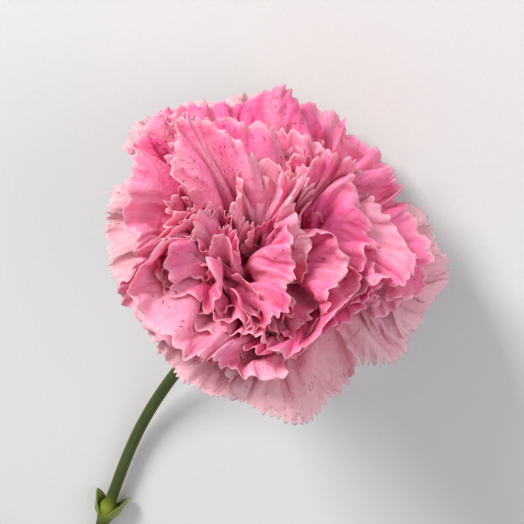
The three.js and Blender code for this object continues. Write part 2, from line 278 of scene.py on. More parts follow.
def closed_sheet(middle, thickness):
    """A thin closed sheet: the middle surface moved half a thickness each way along its normals, with its
    two faces joined around the rim. middle is (across, along, 3), and thickness a number for each point."""
    columns, rows = middle.shape[:2]
    lift = sheet_normals(middle) * (np.broadcast_to(thickness, (columns, rows))[..., None] / 2)
    points = np.concatenate([(middle + lift).reshape(-1, 3), (middle - lift).reshape(-1, 3)])
    count = columns * rows
    top = grid_faces(columns, rows)[:, ::-1]
    bottom = grid_faces(columns, rows, count)
    index = np.arange(count).reshape(columns, rows)
    rim = np.concatenate([index[:-1, 0], index[-1, :-1], index[:0:-1, -1], index[0, :0:-1]])
    onward = np.roll(rim, -1)
    wall = np.stack([rim, onward, onward + count, rim + count], -1)
    return points, np.concatenate([top, bottom, wall[:, ::-1]])


def sheet_uv(columns, rows):
    """U across and V along, the same on both faces."""
    u, v = np.meshgrid(np.linspace(0, 1, columns), np.linspace(0, 1, rows), indexing="ij")
    face = np.stack([u, v], -1).reshape(-1, 2)
    return np.concatenate([face, face])


def end_caps(rings, sides):
    """Triangles that close both ends of stacked rings, to two centre points that follow the rings' points."""
    ring = np.arange(sides)
    onward = (ring + 1) % sides
    last = (rings - 1) * sides
    first_cap = np.stack([onward, ring, np.full(sides, rings * sides)], -1)
    last_cap = np.stack([last + ring, last + onward, np.full(sides, rings * sides + 1)], -1)
    return np.concatenate([first_cap, last_cap])


def tube(path, radius, sides):
    """Rings of points around a path, flat at its ends: centre + radius * (side cos a + up sin a), where
    radius is a number for each path point and side."""
    back = unit(np.gradient(path, axis=0))
    side = unit(np.cross(np.array([0.0, 0.0, 1.0]), back))
    up = np.cross(back, side)
    angle = np.arange(sides) * TAU / sides
    rings = path[:, None] + radius[..., None] * (
        side[:, None] * np.cos(angle)[None, :, None] + up[:, None] * np.sin(angle)[None, :, None]
    )
    points = np.concatenate([rings.reshape(-1, 3), path[[0, -1]]])
    return points, grid_faces(len(path), sides, wrap=True), end_caps(len(path), sides)


def turned(profile, sides, shape):
    """A surface turned around the bloom's axis from (radius, height) points, closed at both ends on the
    axis. shape(angle, radius, height) gives changed radii and heights."""
    profile = np.asarray(profile, float)
    angle = np.arange(sides) * TAU / sides
    radius = np.repeat(profile[1:-1, 0:1], sides, axis=1)
    height = np.repeat(profile[1:-1, 1:2], sides, axis=1)
    radius, height = shape(angle[None, :], radius, height)
    rings = np.stack([radius * np.cos(angle), radius * np.sin(angle), height], -1)
    ends = np.array([[0, 0, profile[0, 1]], [0, 0, profile[-1, 1]]])
    points = np.concatenate([rings.reshape(-1, 3), ends])
    count = len(profile) - 2
    return points, grid_faces(count, sides, wrap=True), end_caps(count, sides)


def hand_over(piece, slot, *nodes):
    """Puts a finished piece on the only body and stands it in for its solids; slot, the name of its finish,
    is not used.
    """
    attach(piece, "root")
    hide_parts(*nodes)


# ---------------------------------------------------------------- material tools


class Value:
    """A number socket with arithmetic: each operation adds a Math node."""

    def __init__(self, tree, socket):
        self.tree = tree
        self.socket = socket

    def math(self, operation, *others):
        """A Math node's result for this value and others, which may be plain numbers."""
        node = self.tree.nodes.new("ShaderNodeMath")
        node.operation = operation
        for slot, value in zip(node.inputs, (self, *others)):
            if isinstance(value, Value):
                self.tree.links.new(value.socket, slot)
            else:
                slot.default_value = value
        return Value(self.tree, node.outputs[0])

    def __add__(self, other):
        return self.math("ADD", other)

    def __sub__(self, other):
        return self.math("SUBTRACT", other)

    def __rsub__(self, other):
        return (self * -1) + other

    def __mul__(self, other):
        return self.math("MULTIPLY", other)

    __radd__ = __add__
    __rmul__ = __mul__

    def sin(self):
        return self.math("SINE")

    def abs(self):
        return self.math("ABSOLUTE")

    def step(self, low, high):
        """A smooth step from 0 at low to 1 at high, which may be the smaller."""
        node = self.tree.nodes.new("ShaderNodeMapRange")
        node.interpolation_type = "SMOOTHSTEP"
        self.tree.links.new(self.socket, node.inputs["Value"])
        node.inputs["From Min"].default_value = min(low, high)
        node.inputs["From Max"].default_value = max(low, high)
        node.inputs["To Min"].default_value = 0 if low < high else 1
        node.inputs["To Max"].default_value = 1 if low < high else 0
        return Value(self.tree, node.outputs["Result"])


class Shader:
    """A material's node tree, with short ways to make its nodes."""

    def __init__(self, name):
        self.material = bpy.data.materials.new(name)
        self.material.use_nodes = True
        self.tree = self.material.node_tree
        self.tree.nodes.clear()

    def node(self, kind, settings=None, **inputs):
        """A node of a type: its settings first, then its sockets' values or links, by socket name with _ for
        a space."""
        node = self.tree.nodes.new(kind)
        for key, value in (settings or {}).items():
            setattr(node, key, value)
        for key, value in inputs.items():
            self.feed(node.inputs[key.replace("_", " ")], value)
        return node

    def feed(self, socket, value):
        """Links a value or a socket, or sets a colour or a number."""
        if isinstance(value, Value):
            self.tree.links.new(value.socket, socket)
        elif isinstance(value, bpy.types.NodeSocket):
            self.tree.links.new(value, socket)
        elif hasattr(socket.default_value, "__len__") and len(socket.default_value) == 4:
            socket.default_value = (*value, 1)
        else:
            socket.default_value = value

    def value(self, node, output=0):
        """A node's output, ready for arithmetic."""
        return Value(self.tree, node.outputs[output])

    def attribute(self, name):
        """One of the piece's own named numbers."""
        return self.value(self.node("ShaderNodeAttribute", {"attribute_name": name}), "Fac")

    def uv(self):
        """The two numbers of the piece's own UV map."""
        map_node = self.node("ShaderNodeUVMap", {"uv_map": "UVMap"})
        parts = self.node("ShaderNodeSeparateXYZ", Vector=map_node.outputs[0])
        return self.value(parts, 0), self.value(parts, 1)

    def place(self):
        """The place in the piece, in metres."""
        return self.node("ShaderNodeTexCoord").outputs["Object"]

    def combine(self, x, y, z=0.0):
        """A vector from three numbers or values."""
        node = self.node("ShaderNodeCombineXYZ")
        for slot, value in zip(node.inputs, (x, y, z)):
            self.feed(slot, value)
        return node.outputs[0]

    def noise(self, vector, scale, detail=2.0, roughness=0.5, distortion=0.0):
        """Cloudy noise from 0 to 1."""
        node = self.node(
            "ShaderNodeTexNoise", Vector=vector, Scale=scale, Detail=detail, Roughness=roughness,
            Distortion=distortion,
        )
        return self.value(node, "Fac")

    def spots(self, vector):
        """Distance to the nearest of points that are scattered one to a unit cell."""
        node = self.node("ShaderNodeTexVoronoi", Vector=vector, Scale=1.0)
        return self.value(node, "Distance")

    def mix(self, factor, first, second):
        """A colour between two colours."""
        node = self.node("ShaderNodeMix", {"data_type": "RGBA"})
        self.feed(node.inputs[0], factor)
        self.feed(node.inputs[6], first)
        self.feed(node.inputs[7], second)
        return node.outputs[2]

    def bump(self, height, strength, distance, normal=None):
        """A normal bent by a height, on top of an earlier normal if there is one. distance is in metres."""
        node = self.node("ShaderNodeBump", Height=height, Strength=strength, Distance=distance)
        if normal is not None:
            self.feed(node.inputs["Normal"], normal)
        return node.outputs[0]

    def surface(self, shader):
        """Ends the tree with a shader, and gives the finished material."""
        output = self.node("ShaderNodeOutputMaterial")
        self.tree.links.new(shader, output.inputs["Surface"])
        return self.material


# ---------------------------------------------------------------- petals: layout


def outer_profile(radius):
    """Radius and height along the outermost petal, from the foot of its claw to its tip."""
    flare = radius - CLAW_OUTER_RADIUS
    return (
        (4.6, -CLAW_FOOT), (5.45, -8.0), (CLAW_OUTER_RADIUS, 0.5), (CLAW_OUTER_RADIUS + 0.20 * flare, 7.5),
        (CLAW_OUTER_RADIUS + 0.48 * flare, 9.5), (CLAW_OUTER_RADIUS + 0.76 * flare, 7.5), (radius, 2.0),
    )


def inner_profile(height):
    """Radius and height along the innermost petal."""
    return (
        (CLAW_INNER_RADIUS, -CLAW_FOOT), (CLAW_INNER_RADIUS, -8.0), (CLAW_INNER_RADIUS, 0.5),
        (2.1, 0.28 * height), (2.8, 0.55 * height), (5.0, 0.8 * height), (9.0, height),
    )


EYE_SHIFT = (-22.0, 8.0)  # where the petal tips converge, off the flower's axis
# Where the dome's petals are shorter (or longer, below 0): azimuth and reach in degrees, share of the length
CROWDING = (
    (250, 80, 0.22), (0, 50, 0.04), (68, 36, -0.27), (86, 14, 0.28), (100, 24, 0.20), (132, 28, -0.04),
    (172, 42, 0.09), (325, 42, -0.07), (20, 24, -0.08),
)


def near(angle, centre, width):
    """1 where an angle is at the centre, falling smoothly to 0 at width degrees on either side of it."""
    return smooth(np.abs((np.degrees(angle) - centre + 180) % 360 - 180), width, 0)


class Layout:
    """Where each petal of the spiral stands, how big it is and how it is bent. Every array has one number
    for each petal, and petals are numbered inwards.

    rank runs from 0 for the outermost petal to 1 for the innermost. reach is the share of its shell's length
    that a petal takes, fan its half-width in radians, and round the share of length that its corners lose.
    ruffle is how much longer its margin grows, and room how far, in millimetres, it may buckle. Its bends
    are in millimetres at the tip: lean outwards, cup, twist, fold and curl; sway turns it in radians."""

    def __init__(self, random):
        number = np.arange(PETAL_COUNT)
        self.rank = number / (PETAL_COUNT - 1)
        self.is_guard = number < GUARD_COUNT
        turn = np.zeros(PETAL_COUNT)
        turn[:GUARD_COUNT] = np.radians(GUARD_TURNS)
        turn[GUARD_COUNT:] = random.normal(0, math.radians(6), PETAL_COUNT - GUARD_COUNT)
        self.azimuth = FIRST_AZIMUTH + number * GOLDEN_ANGLE + turn
        self.reach = random.uniform(0.89, 1.08, PETAL_COUNT)
        crowd = sum(amount * near(self.azimuth, place, width) for place, width, amount in CROWDING)
        self.reach = np.minimum(self.reach * (1 - crowd * (1 - self.rank)), 1.11)
        self.reach[:GUARD_COUNT] = GUARD_REACH
        self.fan = np.radians(29 + 25 * self.rank) * random.uniform(0.85, 1.15, PETAL_COUNT)
        self.fan[:GUARD_COUNT] = np.radians(GUARD_FAN)
        self.round = np.where(self.is_guard, 0.22, 0.20)
        calm = near(self.azimuth, 85, 85)  # petals on the upper side lie smoother
        self.ruffle = np.where(self.is_guard, 0.14, random.uniform(0.5, 1.3, PETAL_COUNT) * (1 - 0.6 * calm))
        self.ruffle *= (1 - 0.35 * self.rank) * (1 + 0.5 * near(self.azimuth, -30, 90) * (1 - self.is_guard))
        self.room = np.where(self.is_guard, 2.2, random.uniform(2.0, 4.0, PETAL_COUNT))
        # Inner petals on the lower side have fallen open
        fallen = near(self.azimuth, 215, 95) * smooth(self.rank, 0.35, 0.65)
        self.reach *= 1 + 0.10 * fallen
        self.ruffle *= 1 - 0.6 * fallen
        free = np.where(self.is_guard, 0.25, 0.6 + 0.9 * self.rank)
        self.lean = random.normal(0, 1.6, PETAL_COUNT) * free - 3.5 * smooth(self.rank, 0.88, 1)
        self.lean += 4.5 * fallen
        self.cup = random.normal(1.2, 1.5, PETAL_COUNT) * free
        self.twist = np.clip(random.normal(0, 1.7, PETAL_COUNT), -2.6, 2.6) * free
        self.fold = random.normal(0, 1.7, PETAL_COUNT) * free
        self.fold_place = random.uniform(0, TAU, PETAL_COUNT)
        self.sway = np.radians(random.normal(0, 9, PETAL_COUNT)) * free
        self.curl = random.uniform(0, 3.5, PETAL_COUNT) * free
        self.tint = random.uniform(0, 1, PETAL_COUNT)


def shell(layout, azimuth, share, radius, dome, bulge):
    """Points on the petals' shells. The radius and height along a petal lie between those of the outermost
    and the innermost petal by the petal's rank; a bulge of 4 r (1 - r) s^2 rounds the dome, and the tips
    shift towards the eye as the share s of the length grows."""
    rank = layout.rank[:, None, None]
    outer = spline(outer_profile(radius), share)
    inner = spline(inner_profile(dome), share)
    swell = bulge * 4 * rank * (1 - rank) * share ** 2
    lean = layout.lean[:, None, None] * smooth(share, 0.5, 1)
    out = outer[..., 0] * (1 - rank) + inner[..., 0] * rank + 0.6 * swell + lean
    up = outer[..., 1] * (1 - rank) + inner[..., 1] * rank + 0.8 * swell - 0.5 * lean
    shift = rank * smooth(share, 0.28, 0.92)
    return np.stack([
        out * np.cos(azimuth) + EYE_SHIFT[0] * shift,
        out * np.sin(azimuth) + EYE_SHIFT[1] * shift,
        up,
    ], -1)


def smooth_petals(layout, columns, rows, radius, dome, bulge):
    """The middle surfaces of all petals before they ruffle: (petal, across, along, 3). A petal is as narrow
    as its claw up to the mouth, and then fans out to a rounded tip. Along its normals the blade is cupped by
    the square across, twisted by the place across, folded by one wave across, and curled back by the cube
    along."""

    def each(name):
        return getattr(layout, name)[:, None, None]

    across = np.linspace(-1, 1, columns)[None, :, None]
    along = np.linspace(0, 1, rows)[None, None, :]
    share = along * each("reach") ** smooth(along, 0.4, 1) * (1 - each("round") * across ** 2)
    mid_radius = 6 - 3.5 * each("rank")
    claw = CLAW_HALF_WIDTH / mid_radius
    half = claw + (each("fan") - claw) * smooth(share, 0.34, 0.66)
    azimuth = each("azimuth") + across * half + each("sway") * smooth(share, 0.4, 1)
    inside = np.minimum(share, 1)
    points = shell(layout, azimuth, inside, radius, dome, bulge)
    before = shell(layout, azimuth, inside - 0.02, radius, dome, bulge)
    points = points + (points - before) * ((share - inside) / 0.02)[..., None]
    blade = smooth(share, 0.4, 1)
    bend = (
        -each("cup") * across ** 2
        + each("twist") * across
        + each("fold") * np.sin(2.6 * across + each("fold_place"))
        + each("curl") * smooth(share, 0.75, 1.1) * blade ** 3
    )
    return points + sheet_normals(points) * (bend * blade)[..., None]


# ---------------------------------------------------------------- petals: ruffling


def pull(first, second, rest, strength, only_push=False):
    """Moves pairs of points towards their rest distance, each by half of strength times the difference."""
    step = second - first
    length = np.sqrt(np.einsum("...k,...k->...", step, step)) + 1e-6
    change = (length - rest) / length
    if only_push:
        change = np.minimum(change, 0)
    move = step * (0.5 * strength * change)[..., None]
    first += move
    second -= move


def gaps(points, axis):
    """Distances between neighbours on an axis."""
    return np.linalg.norm(np.diff(points, axis=axis), axis=-1)


EDGE_STIFFNESS = 0.9
DIAGONAL_STIFFNESS = 0.25
FOLD_STIFFNESS_ALONG = 0.6
GROWTH_ALONG = 1.02
FOLD_REACH_ACROSS = 0.94  # share of the straight distance below which second neighbours push apart
FOLD_REACH_ALONG = 0.97
RETURN_SHARE = 0.6


def relax(points, base, normals, room, growth, pinned, steps, stiffness_across):
    """Lets grown sheets buckle. Each pass pulls every neighbouring pair towards its grown length, across,
    along and on both diagonals, pushes second neighbours apart so that folds stay round, and then keeps each
    point within its room on either side of the base surface. The first rows are pinned."""
    across = gaps(base, 1) * (1 + (growth[:, 1:] + growth[:, :-1]) / 2)
    along = gaps(base, 2) * GROWTH_ALONG
    diagonal = np.sqrt(
        ((across[:, :, 1:] + across[:, :, :-1]) / 2) ** 2 + ((along[:, 1:] + along[:, :-1]) / 2) ** 2
    )
    far_across = FOLD_REACH_ACROSS * (across[:, 1:] + across[:, :-1])
    far_along = FOLD_REACH_ALONG * (along[:, :, 1:] + along[:, :, :-1])
    for step in range(steps):
        for odd in (0, 1):
            first, second = slice(odd, -1, 2), slice(odd + 1, None, 2)
            slant = diagonal[:, odd::2]
            pull(points[:, first], points[:, second], across[:, odd::2], EDGE_STIFFNESS)
            pull(points[:, :, first], points[:, :, second], along[:, :, odd::2], EDGE_STIFFNESS)
            pull(points[:, first, :-1], points[:, second, 1:], slant, DIAGONAL_STIFFNESS)
            pull(points[:, first, 1:], points[:, second, :-1], slant, DIAGONAL_STIFFNESS)
        for start in range(4 if step % 2 else 0):
            end = start + (points.shape[1] - start) // 4 * 4
            pull(
                points[:, start:end:4], points[:, start + 2:end:4], far_across[:, start:end:4],
                stiffness_across, True,
            )
            end = start + (points.shape[2] - start) // 4 * 4
            pull(
                points[:, :, start:end:4], points[:, :, start + 2:end:4], far_along[:, :, start:end:4],
                FOLD_STIFFNESS_ALONG, True,
            )
        away = np.einsum("...k,...k->...", points - base, normals)
        excess = away - np.clip(away, -room, room)
        points -= normals * (RETURN_SHARE * excess)[..., None]
        points[:, :, :pinned] = base[:, :, :pinned]
    return points


def waves(random, count, across, along, low, high):
    """Smooth random waves for each petal: a sum of sines whose number of waves across runs from low to high,
    each drifting a little along the petal."""
    total = np.zeros((count, across.size, along.size))
    for _ in range(7):
        number = random.uniform(low, high, count)[:, None, None]
        drift = random.uniform(-2.5, 2.5, count)[:, None, None]
        phase = random.uniform(0, TAU, count)[:, None, None]
        total += np.sin(TAU * (number * across[None, :, None] + drift * along[None, None, :]) + phase)
    return total / math.sqrt(7)


def resample(grid, u, v):
    """Values of a grid at fractional places, by cubic curves both ways. grid is (columns, rows, k), u is one
    place for each column wanted, and v one for each column and row wanted."""

    def weights(place, count):
        cell = np.clip(np.floor(place).astype(int), 0, count - 2)
        t = place - cell
        index = np.clip(np.stack([cell - 1, cell, cell + 1, cell + 2], -1), 0, count - 1)
        return index, np.stack([
            ((2 - t) * t - 1) * t / 2, (t * t * (3 * t - 5) + 2) / 2,
            ((4 - 3 * t) * t + 1) * t / 2, (t - 1) * t * t / 2,
        ], -1)

    iu, wu = weights(u, grid.shape[0])
    iv, wv = weights(v, grid.shape[1])
    result = 0
    for a in range(4):
        for b in range(4):
            part = grid[iu[:, None, a], iv[..., b]]
            result = result + part * (wu[:, None, a] * wv[..., b])[..., None]
    return result


def refine(points, columns, rows):
    """All petals on a finer grid."""
    u = np.linspace(0, points.shape[1] - 1, columns)
    v = np.broadcast_to(np.linspace(0, points.shape[2] - 1, rows), (columns, rows))
    return np.stack([resample(grid, u, v) for grid in points])


def warp(points, random, amount):
    """A smooth random shift shared by all petals, so that their order stays: a sum of waves in space, each
    moving points its own way, that grows with height above the mouth."""
    shift = np.zeros_like(points)
    for _ in range(6):
        way = unit(random.normal(0, 1, 3)) * TAU / random.uniform(24, 42)
        move = random.normal(0, amount / math.sqrt(6), 3)
        shift += np.sin(points @ way + random.uniform(0, TAU))[..., None] * move
    return shift * smooth(np.arange(points.shape[-2]) / points.shape[-2], 0.35, 0.8)[:, None]


def ruffled_petals(layout, random, radius, dome, bulge, ruffle):
    """The middle surfaces of all petals, grown at their margins until they buckle: first on a coarse grid
    for the broad folds, then on finer ones for the small ones."""
    stages = (
        # columns, rows, steps, waves across, their height, how late they start, share of growth, stiffness
        (25, 17, 160, (1.0, 3.2), 1.6, 1.2, 0.6, 0.5),
        (49, 33, 90, (3.5, 8), 0.7, 2.5, 0.9, 0.35),
        (97, 65, 60, (8, 15), 0.4, 5, 1.45, 0.3),
    )
    points = smooth_petals(layout, 25, 17, radius, dome, bulge)
    for columns, rows, steps, (low, high), height, fade, share, stiffness in stages:
        base = smooth_petals(layout, columns, rows, radius, dome, bulge)
        along = np.linspace(0, 1, rows)
        across = np.linspace(0, 1, columns)
        blade = smooth(along, 0.42, 1.0)
        normals = sheet_normals(base)
        points = refine(points, columns, rows)
        start = waves(random, PETAL_COUNT, across, along, low, high) * blade ** fade * height
        points += normals * start[..., None]
        growth = ruffle * share * layout.ruffle[:, None, None] * (blade ** (1 + fade / 3))[None, None, :]
        growth = np.repeat(growth, columns, axis=1)
        room = layout.room[:, None, None] * (0.12 + blade)[None, None, :]
        points = relax(points, base, normals, room, growth, int(0.34 * rows), steps, stiffness)
    amount = (0.6 + 0.6 * smooth(layout.rank, 0, 0.5))[:, None, None, None]
    return points + warp(points, random, 2.0) * amount


# ---------------------------------------------------------------- petals: margins and pieces


def margin(random, columns, teeth, depth):
    """How much of a petal's length is cut away at each place across its tip, in millimetres. The margin has
    round-ended teeth of uneven width, parted by notches of uneven depth: a power of the distance from a
    tooth's middle, times the depth of the notches beside it, plus a share of the depth for each tooth."""
    widths = random.uniform(0.55, 1.5, teeth)
    borders = np.concatenate([[0], np.cumsum(widths)]) / widths.sum()
    across = np.linspace(0, 1, columns)
    place = np.interp(across, borders, np.arange(teeth + 1))
    tooth = np.minimum(place.astype(int), teeth - 1)
    part = place - tooth
    notch = np.abs(2 * part - 1) ** 1.6
    depths = random.uniform(0.35, 1.25, teeth + 1)
    deep = depths[tooth] * (1 - part) + depths[tooth + 1] * part
    uneven = random.uniform(0, 0.55, teeth)[tooth]
    return depth * (notch * deep + uneven)


def petal_mesh(name, middle, layout, k, random, thickness, depth):
    """One petal: its grid is cut back at the margin column by column, then becomes a thin closed sheet that
    is thinner at the margin, pressed up to the surface where it would go through it."""
    columns, rows = ((129, 58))
    length = np.linalg.norm(np.diff(middle[:, middle.shape[1] // 3:], axis=1), axis=-1).sum(1).mean()
    teeth = int((26 if layout.is_guard[k] else 22) * (1.15 - 0.35 * layout.rank[k]))
    cut = margin(random, columns, teeth, depth * (1.25 if layout.is_guard[k] else 0.9))
    keep = 1 - cut / (1.5 * length)
    steps = np.linspace(0, 1, rows)
    spread = 0.72 * steps + 0.28 * (1 - (1 - steps) ** 2)
    u = np.linspace(0, middle.shape[0] - 1, columns)
    v = spread[None, :] * keep[:, None] * (middle.shape[1] - 1)
    grid = to_row(resample(middle, u, v))
    lowest = (0.25 + 0.6 * layout.rank[k]) * MM
    below = np.maximum(lowest - grid[..., 2], 0)
    grid[..., 2] += below
    grid[..., 0] += 0.5 * below
    thin = thickness * (1 - 0.55 * smooth(spread, 0.9, 1))
    points, quads = closed_sheet(grid, np.broadcast_to(thin, (columns, rows)))
    uv = sheet_uv(columns, rows)
    uv[:, 1] = np.tile(np.broadcast_to(spread, (columns, rows)).reshape(-1), 2)
    return add_mesh(name, points, quads, uv, values={"tint": layout.tint[k]})


def petal_material(name, guard):
    """Thin petal tissue: a darker, saturated deep pink towards the claw, partly its own colour and partly
    painted shade of the deep folds, paler towards the margin in uneven patches, with fine veins that run to
    the margin, flecks and short streaks of dark red, and a pale rim. Some light passes through."""
    palette = colours()
    s = Shader(name)
    u, v = s.uv()
    tint = s.attribute("tint")
    place = s.place()
    fan = s.combine(u * 60, v * 7, tint * 40)
    veins = s.noise(fan, 1.0, detail=3, roughness=0.6)
    fine_veins = s.noise(s.combine(u * 170, v * 12, tint * 40), 1.0, detail=2)
    patches = s.noise(s.combine(u * 3.2, v * 4, tint * 90), 1.0, detail=3, roughness=0.6)
    main = tuple(palette.guard if guard else palette.petal)
    pale = tuple(palette.petal_pale)
    deep = tuple(palette.petal_deep_and_shade)
    # Painted shade, in part: towards the claw, deep in the folds, the petal turns to the darker base pink.
    body = s.mix(v.step(0.45, 0.88), deep, main)
    amount = (patches * 0.85 + tint * 0.15).step(0.36, 0.64) * v.step(0.55, 0.97) * (0.62 + tint * 0.28)
    body = s.mix(amount, body, pale)
    body = s.mix(veins.step(0.45, 0.75) * 0.22, body, pale)
    body = s.mix((1 - fine_veins.step(0.3, 0.5)) * 0.16, body, deep)
    if guard:
        body = s.mix(v.step(0.75, 1.0) * 0.55, body, (0.90, 0.66, 0.68))
    body = s.mix(v.step(0.965, 1.0) * 0.5, body, (0.97, 0.72, 0.74))
    dots = s.spots(s.combine(u * 42, v * 44, tint * 50))
    where = s.noise(s.combine(u * 5, v * 6, tint * 70), 1.0, detail=1).step(0.42, 0.56)
    streaks = s.spots(s.combine(u * 26, v * 5, tint * 20 + 7))
    marks = dots.step(0.24, 0.13) * where * v.step(0.5, 0.7) + streaks.step(0.11, 0.05) * (1 - where) * 0.7
    body = s.mix(marks.math("MINIMUM", 1.0) * 0.75, body, tuple(palette.fleck))
    crinkle = s.noise(place, 900.0, detail=3, roughness=0.6)
    dents = s.bump(s.noise(place, 230.0, detail=3, roughness=0.55, distortion=0.6), 0.6, 0.0018)
    height = veins * 0.6 + fine_veins * 0.25 + crinkle * 0.35
    normal = s.bump(height, 0.35, 0.0004, dents)
    roughness = 0.52 + crinkle * 0.2
    tissue = s.node(
        "ShaderNodeBsdfPrincipled", Base_Color=body, Roughness=roughness, Normal=normal, Sheen_Weight=0.1,
        Sheen_Roughness=0.4, Specular_IOR_Level=0.3,
    )
    glow_tone = (0.85, 0.38, 0.46) if guard else (0.96, 0.25, 0.46)
    glow = s.node("ShaderNodeBsdfTranslucent", Color=glow_tone, Normal=normal)
    share = s.node("ShaderNodeMixShader", Fac=0.38)
    s.tree.links.new(tissue.outputs[0], share.inputs[1])
    s.tree.links.new(glow.outputs[0], share.inputs[2])
    return s.surface(share.outputs[0])


class CARNATION_OT_petals(bpy.types.Operator):
    """Adds the guard petals and the petals of the dome"""

    bl_idname = "carnation.petals"
    bl_label = "Petals"

    def execute(self, context):
        size = sizes()
        random = np.random.default_rng(size.seed)
        layout = Layout(random)
        middle = ruffled_petals(
            layout, random, size.bloom_radius / MM, size.dome_height / MM, size.dome_bulge / MM, size.ruffle
        )
        guard = petal_material("guard_petal_tissue", True)
        inner = petal_material("petal_tissue", False)
        for k in range(PETAL_COUNT):
            is_guard = bool(layout.is_guard[k])
            node = f"guard_petal_{k + 1}" if is_guard else f"petal_{k + 1:02d}"
            piece = petal_mesh(
                node + "_ruffled", middle[k], layout, k, random, size.petal_thickness, size.tooth_depth / MM
            )
            piece.data.materials.append(guard if is_guard else inner)
            hand_over(piece, "guard_petal" if is_guard else "petal", node)
        return {"FINISHED"}


# ---------------------------------------------------------------- calyx, bracts and pistil


def green_material(name, main, pale, stretch, bloom, gloss):
    """Waxy green skin: lengthwise streaks, soft blotches, a whitish bloom that rubs off in patches, and fine
    grain. stretch is how many times finer the streaks are across than along, bloom how whitish the wax is,
    and gloss the lowest roughness."""
    s = Shader(name)
    u, v = s.uv()
    place = s.place()
    streaks = s.noise(s.combine(u * 6 * stretch, v * 5, 0.0), 1.0, detail=4, roughness=0.6)
    blotches = s.noise(place, 130.0, detail=3, roughness=0.6)
    grain = s.noise(place, 1500.0, detail=2, roughness=0.6)
    body = s.mix(streaks.step(0.35, 0.7), tuple(c * 0.72 for c in main), main)
    body = s.mix(blotches.step(0.35, 0.75) * 0.5, body, pale)
    wax = blotches.step(0.6, 0.3) * (0.5 + grain * 0.5) * bloom
    body = s.mix(wax, body, (0.42, 0.50, 0.42))
    height = streaks * 0.7 + grain * 0.3
    normal = s.bump(height, 0.4, 0.0003)
    skin = s.node(
        "ShaderNodeBsdfPrincipled", Base_Color=body, Roughness=gloss + grain * 0.15, Normal=normal,
        Specular_IOR_Level=0.4,
    )
    return s.surface(skin.outputs[0])


def calyx_radius(height):
    """Outer radius of the calyx at a height: a straight taper from mouth to base, drawn in over its shoulder
    by the square of the place down it."""
    share = np.clip((height + CALYX_LENGTH - CALYX_SHOULDER) / (CALYX_LENGTH - 5 - TOOTH_DEPTH), 0, 1)
    wall = CALYX_BASE_RADIUS + (CALYX_MOUTH_RADIUS - CALYX_BASE_RADIUS) * share
    shoulder = np.clip((-CALYX_LENGTH + CALYX_SHOULDER - height) / CALYX_SHOULDER, 0, 1)
    return wall - 0.25 * CALYX_BASE_RADIUS * shoulder ** 2


class CARNATION_OT_calyx(bpy.types.Operator):
    """Adds the green calyx with its five teeth, and the four bracts at its base"""

    bl_idname = "carnation.calyx"
    bl_label = "Calyx and bracts"

    def execute(self, context):
        """Turns a profile that runs from the foot up the outside, down the inside and to the inner floor."""
        palette = colours()
        heights = np.linspace(-CALYX_LENGTH + 0.15, 0, 60)
        outer = np.stack([calyx_radius(heights), heights], -1)
        inner = np.stack([calyx_radius(heights[::-1]) - CALYX_WALL * 0.8, heights[::-1]], -1)[:-8]
        foot = [[0, -CALYX_LENGTH], [2.5, -CALYX_LENGTH], [3.9, -CALYX_LENGTH + 0.04]]
        floor = [[3.6, -CALYX_LENGTH + 2.6], [0, -CALYX_LENGTH + 2.4]]
        profile = np.concatenate([foot, outer, inner, floor])

        def toothed(angle, radius, height):
            """Lowers the rim between the teeth by a cosine of the angle, and gives the wall fine ribs."""
            top = smooth(height, -TOOTH_RISE, 0)
            rise = TOOTH_TIP - TOOTH_DEPTH / 2 * (1 - np.cos(TOOTH_COUNT * angle))
            ribs = 0.10 * np.cos(6 * TOOTH_COUNT * angle) * smooth(height, -CALYX_LENGTH, -CALYX_LENGTH + 5)
            grown = height + rise * top
            return radius + ribs * (radius > 3.8) - 0.25 * top * np.cos(TOOTH_COUNT * angle), grown

        points, quads, caps = turned(profile, 160, toothed)
        turn = np.arctan2(points[:, 1], points[:, 0]) / TAU + 0.5
        uv = np.stack([turn, points[:, 2] / CALYX_LENGTH + 1], -1)
        calyx = add_mesh("calyx_cup", to_row(points), quads, uv, caps)
        skin = green_material("calyx_skin", tuple(palette.calyx), (0.30, 0.38, 0.10), 8, 0.25, 0.42)
        calyx.data.materials.append(skin)
        hand_over(calyx, "calyx", "calyx")
        self.bracts()
        return {"FINISHED"}

    def bracts(self):
        """Four pointed scales on the calyx. Each lies on the calyx wall with a keel that rises as the square
        of the nearness to its middle, is sunk into the wall at its base by the fifth power of the distance
        from the tip, and stands off at its tip by the fifth power of the distance from the base. It narrows
        by a power of the place along it."""
        skin = green_material("bract_skin", (0.19, 0.27, 0.08), (0.36, 0.40, 0.18), 5, 0.3, 0.5)
        across = np.linspace(-1, 1, 41)[:, None]
        along = np.linspace(0, 1, 49)[None, :]
        for k in range(BRACT_COUNT):
            height = -CALYX_LENGTH + 0.5 + along * BRACT_LENGTH + 0 * across
            width = math.radians(41) * (1 - 0.985 * along ** 2.2) * (1 - 0.25 * (1 - along) ** 3)
            turn = (k + 0.5) * TAU / BRACT_COUNT + across * width
            keel = 0.25 * (1 - np.abs(across)) ** 2
            radius = calyx_radius(height) + 0.32 + keel - 0.9 * (1 - along) ** 5 + 0.7 * along ** 5
            middle = np.stack([radius * np.cos(turn), radius * np.sin(turn), height], -1)
            thick = 0.55 * (1 - 0.7 * np.abs(across) ** 3) * (1 - 0.5 * along ** 3) * MM
            points, quads = closed_sheet(to_row(middle), thick)
            piece = add_mesh(f"bract_{k + 1}_scale", points, quads, sheet_uv(41, 49))
            piece.data.materials.append(skin)
            hand_over(piece, "bract", f"bract_{k + 1}")


